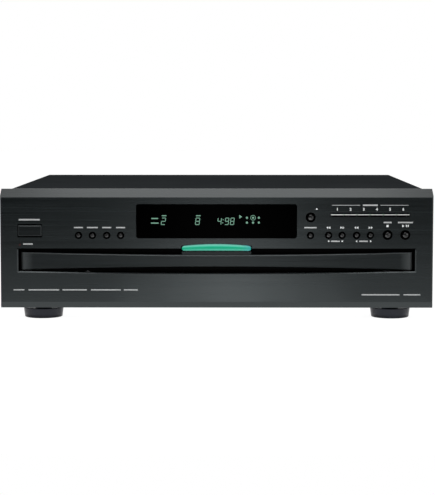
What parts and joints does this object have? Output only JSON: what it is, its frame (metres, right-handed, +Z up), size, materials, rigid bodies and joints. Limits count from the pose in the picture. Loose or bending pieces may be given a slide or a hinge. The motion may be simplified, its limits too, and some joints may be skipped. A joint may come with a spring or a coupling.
{
  "type": "cd player",
  "caption": "Full-width front-loading disc changer: sliding tray with a six-well carousel, display window, sprung buttons, tilting pickup and round feet.",
  "frame": {"origin": "centre of the base, on the surface that the feet stand on", "axes": "+Z up, the front panel faces -Y, +X to the right as seen from the front"},
  "size_m": [0.435, 0.431, 0.131],
  "materials": {
    "panel_black": "black anodised, brushed from side to side",
    "cover_black": "black vinyl-coated steel, fine grain",
    "steel_plate": "zinc-plated sheet steel",
    "rear_black": "black painted steel",
    "screw_black": "black zinc",
    "foot_plastic": "glossy moulded plastic",
    "window_black": "deep black polished acrylic",
    "glass_tube": "clear display tube glass",
    "lens_green": "translucent green acrylic",
    "lamp_clear": "small unlit lamp",
    "board_green": "green circuit board",
    "button_black": "satin black moulded plastic",
    "key_silver": "satin silver moulded plastic",
    "tray_black": "black moulded plastic",
    "bar_black": "black anodised, brushed",
    "mech_grey": "grey moulded plastic",
    "gear_white": "white acetal",
    "motor_steel": "plated motor can",
    "rod_chrome": "ground steel rod",
    "capacitor": "dark sleeved capacitor",
    "transformer": "laminated core with a taped coil",
    "jack_metal": "plated socket shells on a black block",
    "socket_black": "black moulded socket"
  },
  "bodies": {
    "case": {"front_panel": "panel_black", "top_cover": "cover_black", "case_screws": "screw_black", "chassis_pan": "steel_plate", "feet": "foot_plastic", "rear_panel": "rear_black", "display_window": "window_black", "display_tube": "glass_tube", "lamp_lens": "lens_green", "standby_lamp": "lamp_clear", "front_board": "board_green", "right_tray_rail": "mech_grey", "left_tray_rail": "mech_grey", "mechanism_deck": "mech_grey", "tray_motor": "motor_steel", "clamp_bridge": "steel_plate", "main_board": "board_green", "board_capacitors": "capacitor", "power_transformer": "transformer", "audio_jacks": "jack_metal", "optical_jack": "socket_black", "remote_jacks": "socket_black", "cord_bush": "socket_black"},
    "tray": {"tray": "tray_black", "tray_front": "tray_black", "tray_bar": "bar_black", "carousel_motor": "motor_steel"},
    "carousel": {"carousel": "tray_black", "carousel_cap": "tray_black"},
    "carousel_pinion": {"carousel_pinion": "gear_white"},
    "tray_gear": {"tray_gear": "gear_white"},
    "tray_motor_pinion": {"tray_motor_pinion": "gear_white"},
    "pickup": {"pickup_frame": "mech_grey", "guide_rods": "rod_chrome", "spindle_motor": "motor_steel", "sled_motor": "motor_steel"},
    "laser_sled": {"laser_sled": "mech_grey"},
    "lead_screw": {"lead_screw": "rod_chrome"},
    "disc_table": {"disc_table": "tray_black"},
    "lift_slider": {"lift_slider": "gear_white"},
    "clamp_puck": {"clamp_puck": "gear_white"},
    "button_power": {"button_power": "button_black"},
    "button_repeat": {"button_repeat": "button_black"},
    "button_random": {"button_random": "button_black"},
    "button_memory": {"button_memory": "button_black"},
    "button_screen": {"button_screen": "button_black"},
    "button_disc_skip": {"button_disc_skip": "button_black"},
    "button_previous": {"button_previous": "button_black"},
    "button_next": {"button_next": "button_black"},
    "button_rewind": {"button_rewind": "button_black"},
    "button_forward": {"button_forward": "button_black"},
    "button_open": {"button_open": "button_black"},
    "button_stop": {"button_stop": "button_black"},
    "button_play": {"button_play": "button_black"},
    "button_disc_1": {"button_disc_1": "key_silver"},
    "button_disc_2": {"button_disc_2": "key_silver"},
    "button_disc_3": {"button_disc_3": "key_silver"},
    "button_disc_4": {"button_disc_4": "key_silver"},
    "button_disc_5": {"button_disc_5": "key_silver"},
    "button_disc_6": {"button_disc_6": "key_silver"}
  },
  "joints": [
    {"name": "tray_slide", "type": "slide", "parent": "case", "child": "tray", "axis": [0, 1, 0], "range_m": [-0.24, 0]},
    {"name": "carousel_spin", "type": "hinge", "parent": "tray", "child": "carousel", "pos_m": [0, -0.008, 0.056], "axis": [0, 0, 1], "continuous": true},
    {"name": "carousel_pinion_spin", "type": "hinge", "parent": "tray", "child": "carousel_pinion", "pos_m": [0.13789, -0.14589, 0.0557], "axis": [0, 0, 1], "continuous": true},
    {"name": "tray_gear_spin", "type": "hinge", "parent": "case", "child": "tray_gear", "pos_m": [-0.1605, -0.168, 0.045], "axis": [0, 0, 1], "continuous": true},
    {"name": "tray_motor_spin", "type": "hinge", "parent": "case", "child": "tray_motor_pinion", "pos_m": [-0.1605, -0.135, 0.0445], "axis": [0, 0, 1], "continuous": true},
    {"name": "pickup_lift", "type": "hinge", "parent": "case", "child": "pickup", "pos_m": [0.1, 0.115, 0.043], "axis": [0, 1, 0], "range_deg": [0, 9.79]},
    {"name": "lift_slider_slide", "type": "slide", "parent": "case", "child": "lift_slider", "axis": [0, 1, 0], "range_m": [0, 0.0301]},
    {"name": "disc_table_spin", "type": "hinge", "parent": "pickup", "child": "disc_table", "pos_m": [-0.00109, 0.115, 0.04078], "axis": [-0.17, 0, 0.9854], "continuous": true},
    {"name": "sled_slide", "type": "slide", "parent": "pickup", "child": "laser_sled", "axis": [0, -1, 0], "range_m": [0, 0.034]},
    {"name": "lead_screw_spin", "type": "hinge", "parent": "pickup", "child": "lead_screw", "pos_m": [0.03126, 0.115, 0.03561], "axis": [0, 1, 0], "continuous": true},
    {"name": "clamp_puck_spin", "type": "hinge", "parent": "case", "child": "clamp_puck", "pos_m": [0, 0.115, 0.066], "axis": [0, 0, 1], "continuous": true},
    {"name": "press_power", "type": "slide", "parent": "case", "child": "button_power", "axis": [0, 1, 0], "range_m": [0, 0.0008], "stiffness_N_per_m": 900},
    {"name": "press_repeat", "type": "slide", "parent": "case", "child": "button_repeat", "axis": [0, 1, 0], "range_m": [0, 0.0008], "stiffness_N_per_m": 900},
    {"name": "press_random", "type": "slide", "parent": "case", "child": "button_random", "axis": [0, 1, 0], "range_m": [0, 0.0008], "stiffness_N_per_m": 900},
    {"name": "press_memory", "type": "slide", "parent": "case", "child": "button_memory", "axis": [0, 1, 0], "range_m": [0, 0.0008], "stiffness_N_per_m": 900},
    {"name": "press_screen", "type": "slide", "parent": "case", "child": "button_screen", "axis": [0, 1, 0], "range_m": [0, 0.0008], "stiffness_N_per_m": 900},
    {"name": "press_disc_skip", "type": "slide", "parent": "case", "child": "button_disc_skip", "axis": [0, 1, 0], "range_m": [0, 0.0008], "stiffness_N_per_m": 900},
    {"name": "press_previous", "type": "slide", "parent": "case", "child": "button_previous", "axis": [0, 1, 0], "range_m": [0, 0.0008], "stiffness_N_per_m": 900},
    {"name": "press_next", "type": "slide", "parent": "case", "child": "button_next", "axis": [0, 1, 0], "range_m": [0, 0.0008], "stiffness_N_per_m": 900},
    {"name": "press_rewind", "type": "slide", "parent": "case", "child": "button_rewind", "axis": [0, 1, 0], "range_m": [0, 0.0008], "stiffness_N_per_m": 900},
    {"name": "press_forward", "type": "slide", "parent": "case", "child": "button_forward", "axis": [0, 1, 0], "range_m": [0, 0.0008], "stiffness_N_per_m": 900},
    {"name": "press_open", "type": "slide", "parent": "case", "child": "button_open", "axis": [0, 1, 0], "range_m": [0, 0.0008], "stiffness_N_per_m": 900},
    {"name": "press_stop", "type": "slide", "parent": "case", "child": "button_stop", "axis": [0, 1, 0], "range_m": [0, 0.0008], "stiffness_N_per_m": 900},
    {"name": "press_play", "type": "slide", "parent": "case", "child": "button_play", "axis": [0, 1, 0], "range_m": [0, 0.0008], "stiffness_N_per_m": 900},
    {"name": "press_disc_1", "type": "slide", "parent": "case", "child": "button_disc_1", "axis": [0, 1, 0], "range_m": [0, 0.0008], "stiffness_N_per_m": 900},
    {"name": "press_disc_2", "type": "slide", "parent": "case", "child": "button_disc_2", "axis": [0, 1, 0], "range_m": [0, 0.0008], "stiffness_N_per_m": 900},
    {"name": "press_disc_3", "type": "slide", "parent": "case", "child": "button_disc_3", "axis": [0, 1, 0], "range_m": [0, 0.0008], "stiffness_N_per_m": 900},
    {"name": "press_disc_4", "type": "slide", "parent": "case", "child": "button_disc_4", "axis": [0, 1, 0], "range_m": [0, 0.0008], "stiffness_N_per_m": 900},
    {"name": "press_disc_5", "type": "slide", "parent": "case", "child": "button_disc_5", "axis": [0, 1, 0], "range_m": [0, 0.0008], "stiffness_N_per_m": 900},
    {"name": "press_disc_6", "type": "slide", "parent": "case", "child": "button_disc_6", "axis": [0, 1, 0], "range_m": [0, 0.0008], "stiffness_N_per_m": 900}
  ],
  "couplings": [
    {"joint": "carousel_pinion_spin", "follows": "carousel_spin", "ratio": -12},
    {"joint": "tray_gear_spin", "follows": "tray_slide", "rad_per_m": 95.238},
    {"joint": "tray_motor_spin", "follows": "tray_slide", "rad_per_m": -253.97},
    {"joint": "lift_slider_slide", "follows": "pickup_lift", "m_per_rad": 0.17561},
    {"joint": "lead_screw_spin", "follows": "sled_slide", "rad_per_m": -785.4}
  ]
}
